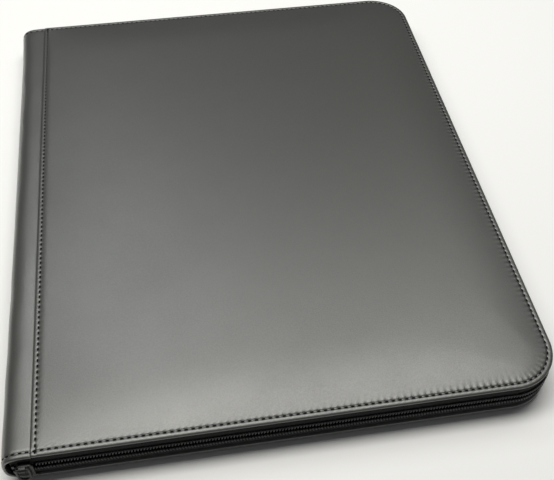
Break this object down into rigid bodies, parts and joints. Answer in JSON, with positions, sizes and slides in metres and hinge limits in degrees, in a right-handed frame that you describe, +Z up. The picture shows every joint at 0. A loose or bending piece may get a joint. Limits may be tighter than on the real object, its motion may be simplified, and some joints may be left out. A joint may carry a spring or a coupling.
{
  "type": "trading card binder",
  "caption": "Zip-up binder with padded, stitched covers, a folding spine, sewn-in pocket leaves and a three-sided zip with a wire pull, for keeping trading cards.",
  "frame": {"origin": "middle of the back cover's underside, on the surface that the closed binder lies on", "axes": "+X from the spine to the fore-edge, +Y along the spine, +Z up through the covers"},
  "size_m": [0.2803, 0.3451, 0.0254],
  "materials": {
    "cover_leather": "satin",
    "foam": "matte",
    "board": "matte",
    "lining_cloth": "matte",
    "page_film": "gloss",
    "zip_tape": "matte",
    "zip_teeth": "satin",
    "zip_metal": "gloss"
  },
  "bodies": {
    "back_cover": {"back_skin": "cover_leather", "back_pad": "foam", "back_board": "board", "back_lining": "lining_cloth", "back_hinge_flap": "cover_leather", "back_zip_tape": "zip_tape", "back_zip_chain": "zip_teeth", "back_zip_stops": "zip_metal"},
    "spine": {"spine_wrap": "cover_leather", "spine_board": "board", "spine_lining": "lining_cloth", "page_binding": "lining_cloth"},
    "front_cover": {"front_skin": "cover_leather", "front_pad": "foam", "front_board": "board", "front_lining": "lining_cloth", "front_hinge_flap": "cover_leather", "front_zip_tape": "zip_tape", "front_zip_chain": "zip_teeth", "front_zip_stops": "zip_metal"},
    "leaf_01": {"leaf_01": "page_film"},
    "leaf_02": {"leaf_02": "page_film"},
    "leaf_03": {"leaf_03": "page_film"},
    "leaf_04": {"leaf_04": "page_film"},
    "leaf_05": {"leaf_05": "page_film"},
    "leaf_06": {"leaf_06": "page_film"},
    "leaf_07": {"leaf_07": "page_film"},
    "leaf_08": {"leaf_08": "page_film"},
    "leaf_09": {"leaf_09": "page_film"},
    "leaf_10": {"leaf_10": "page_film"},
    "leaf_11": {"leaf_11": "page_film"},
    "leaf_12": {"leaf_12": "page_film"},
    "leaf_13": {"leaf_13": "page_film"},
    "leaf_14": {"leaf_14": "page_film"},
    "leaf_15": {"leaf_15": "page_film"},
    "leaf_16": {"leaf_16": "page_film"},
    "leaf_17": {"leaf_17": "page_film"},
    "leaf_18": {"leaf_18": "page_film"},
    "leaf_19": {"leaf_19": "page_film"},
    "leaf_20": {"leaf_20": "page_film"},
    "slider": {"zip_slider": "zip_metal"},
    "pull": {"zip_pull": "zip_metal"}
  },
  "joints": [
    {"name": "spine_fold", "type": "hinge", "parent": "back_cover", "child": "spine", "pos_m": [-0.13795, 0, 0.00485], "axis": [0, -1, 0], "range_deg": [0, 90]},
    {"name": "cover_fold", "type": "hinge", "parent": "spine", "child": "front_cover", "pos_m": [-0.13795, 0, 0.02055], "axis": [0, -1, 0], "range_deg": [0, 90]},
    {"name": "leaf_01_turn", "type": "hinge", "parent": "spine", "child": "leaf_01", "pos_m": [-0.13618, 0, 0.00662], "axis": [0, -1, 0], "range_deg": [-90, 0]},
    {"name": "leaf_02_turn", "type": "hinge", "parent": "spine", "child": "leaf_02", "pos_m": [-0.13554, 0, 0.00726], "axis": [0, -1, 0], "range_deg": [-90, 0]},
    {"name": "leaf_03_turn", "type": "hinge", "parent": "spine", "child": "leaf_03", "pos_m": [-0.1349, 0, 0.0079], "axis": [0, -1, 0], "range_deg": [-90, 0]},
    {"name": "leaf_04_turn", "type": "hinge", "parent": "spine", "child": "leaf_04", "pos_m": [-0.13426, 0, 0.00854], "axis": [0, -1, 0], "range_deg": [-90, 0]},
    {"name": "leaf_05_turn", "type": "hinge", "parent": "spine", "child": "leaf_05", "pos_m": [-0.13362, 0, 0.00918], "axis": [0, -1, 0], "range_deg": [-90, 0]},
    {"name": "leaf_06_turn", "type": "hinge", "parent": "spine", "child": "leaf_06", "pos_m": [-0.13298, 0, 0.00982], "axis": [0, -1, 0], "range_deg": [-90, 0]},
    {"name": "leaf_07_turn", "type": "hinge", "parent": "spine", "child": "leaf_07", "pos_m": [-0.13234, 0, 0.01046], "axis": [0, -1, 0], "range_deg": [-90, 0]},
    {"name": "leaf_08_turn", "type": "hinge", "parent": "spine", "child": "leaf_08", "pos_m": [-0.1317, 0, 0.0111], "axis": [0, -1, 0], "range_deg": [-90, 0]},
    {"name": "leaf_09_turn", "type": "hinge", "parent": "spine", "child": "leaf_09", "pos_m": [-0.13106, 0, 0.01174], "axis": [0, -1, 0], "range_deg": [-90, 0]},
    {"name": "leaf_10_turn", "type": "hinge", "parent": "spine", "child": "leaf_10", "pos_m": [-0.13042, 0, 0.01238], "axis": [0, -1, 0], "range_deg": [-90, 0]},
    {"name": "leaf_11_turn", "type": "hinge", "parent": "spine", "child": "leaf_11", "pos_m": [-0.13042, 0, 0.01302], "axis": [0, -1, 0], "range_deg": [0, 90]},
    {"name": "leaf_12_turn", "type": "hinge", "parent": "spine", "child": "leaf_12", "pos_m": [-0.13106, 0, 0.01366], "axis": [0, -1, 0], "range_deg": [0, 90]},
    {"name": "leaf_13_turn", "type": "hinge", "parent": "spine", "child": "leaf_13", "pos_m": [-0.1317, 0, 0.0143], "axis": [0, -1, 0], "range_deg": [0, 90]},
    {"name": "leaf_14_turn", "type": "hinge", "parent": "spine", "child": "leaf_14", "pos_m": [-0.13234, 0, 0.01494], "axis": [0, -1, 0], "range_deg": [0, 90]},
    {"name": "leaf_15_turn", "type": "hinge", "parent": "spine", "child": "leaf_15", "pos_m": [-0.13298, 0, 0.01558], "axis": [0, -1, 0], "range_deg": [0, 90]},
    {"name": "leaf_16_turn", "type": "hinge", "parent": "spine", "child": "leaf_16", "pos_m": [-0.13362, 0, 0.01622], "axis": [0, -1, 0], "range_deg": [0, 90]},
    {"name": "leaf_17_turn", "type": "hinge", "parent": "spine", "child": "leaf_17", "pos_m": [-0.13426, 0, 0.01686], "axis": [0, -1, 0], "range_deg": [0, 90]},
    {"name": "leaf_18_turn", "type": "hinge", "parent": "spine", "child": "leaf_18", "pos_m": [-0.1349, 0, 0.0175], "axis": [0, -1, 0], "range_deg": [0, 90]},
    {"name": "leaf_19_turn", "type": "hinge", "parent": "spine", "child": "leaf_19", "pos_m": [-0.13554, 0, 0.01814], "axis": [0, -1, 0], "range_deg": [0, 90]},
    {"name": "leaf_20_turn", "type": "hinge", "parent": "spine", "child": "leaf_20", "pos_m": [-0.13618, 0, 0.01878], "axis": [0, -1, 0], "range_deg": [0, 90]},
    {"name": "slider_travel", "type": "slide", "parent": "back_cover", "child": "slider", "axis": [1, 0, 0], "range_m": [0, 0.235]},
    {"name": "pull_swing", "type": "hinge", "parent": "slider", "child": "pull", "pos_m": [-0.1294, -0.173, 0.0157], "axis": [-1, 0, 0], "range_deg": [0, 120]}
  ],
  "couplings": [
    {"joint": "cover_fold", "follows": "spine_fold", "ratio": 1},
    {"joint": "leaf_01_turn", "follows": "spine_fold", "ratio": -1},
    {"joint": "leaf_02_turn", "follows": "spine_fold", "ratio": -1},
    {"joint": "leaf_03_turn", "follows": "spine_fold", "ratio": -1},
    {"joint": "leaf_04_turn", "follows": "spine_fold", "ratio": -1},
    {"joint": "leaf_05_turn", "follows": "spine_fold", "ratio": -1},
    {"joint": "leaf_06_turn", "follows": "spine_fold", "ratio": -1},
    {"joint": "leaf_07_turn", "follows": "spine_fold", "ratio": -1},
    {"joint": "leaf_08_turn", "follows": "spine_fold", "ratio": -1},
    {"joint": "leaf_09_turn", "follows": "spine_fold", "ratio": -1},
    {"joint": "leaf_10_turn", "follows": "spine_fold", "ratio": -1},
    {"joint": "leaf_11_turn", "follows": "spine_fold", "ratio": 1},
    {"joint": "leaf_12_turn", "follows": "spine_fold", "ratio": 1},
    {"joint": "leaf_13_turn", "follows": "spine_fold", "ratio": 1},
    {"joint": "leaf_14_turn", "follows": "spine_fold", "ratio": 1},
    {"joint": "leaf_15_turn", "follows": "spine_fold", "ratio": 1},
    {"joint": "leaf_16_turn", "follows": "spine_fold", "ratio": 1},
    {"joint": "leaf_17_turn", "follows": "spine_fold", "ratio": 1},
    {"joint": "leaf_18_turn", "follows": "spine_fold", "ratio": 1},
    {"joint": "leaf_19_turn", "follows": "spine_fold", "ratio": 1},
    {"joint": "leaf_20_turn", "follows": "spine_fold", "ratio": 1}
  ]
}
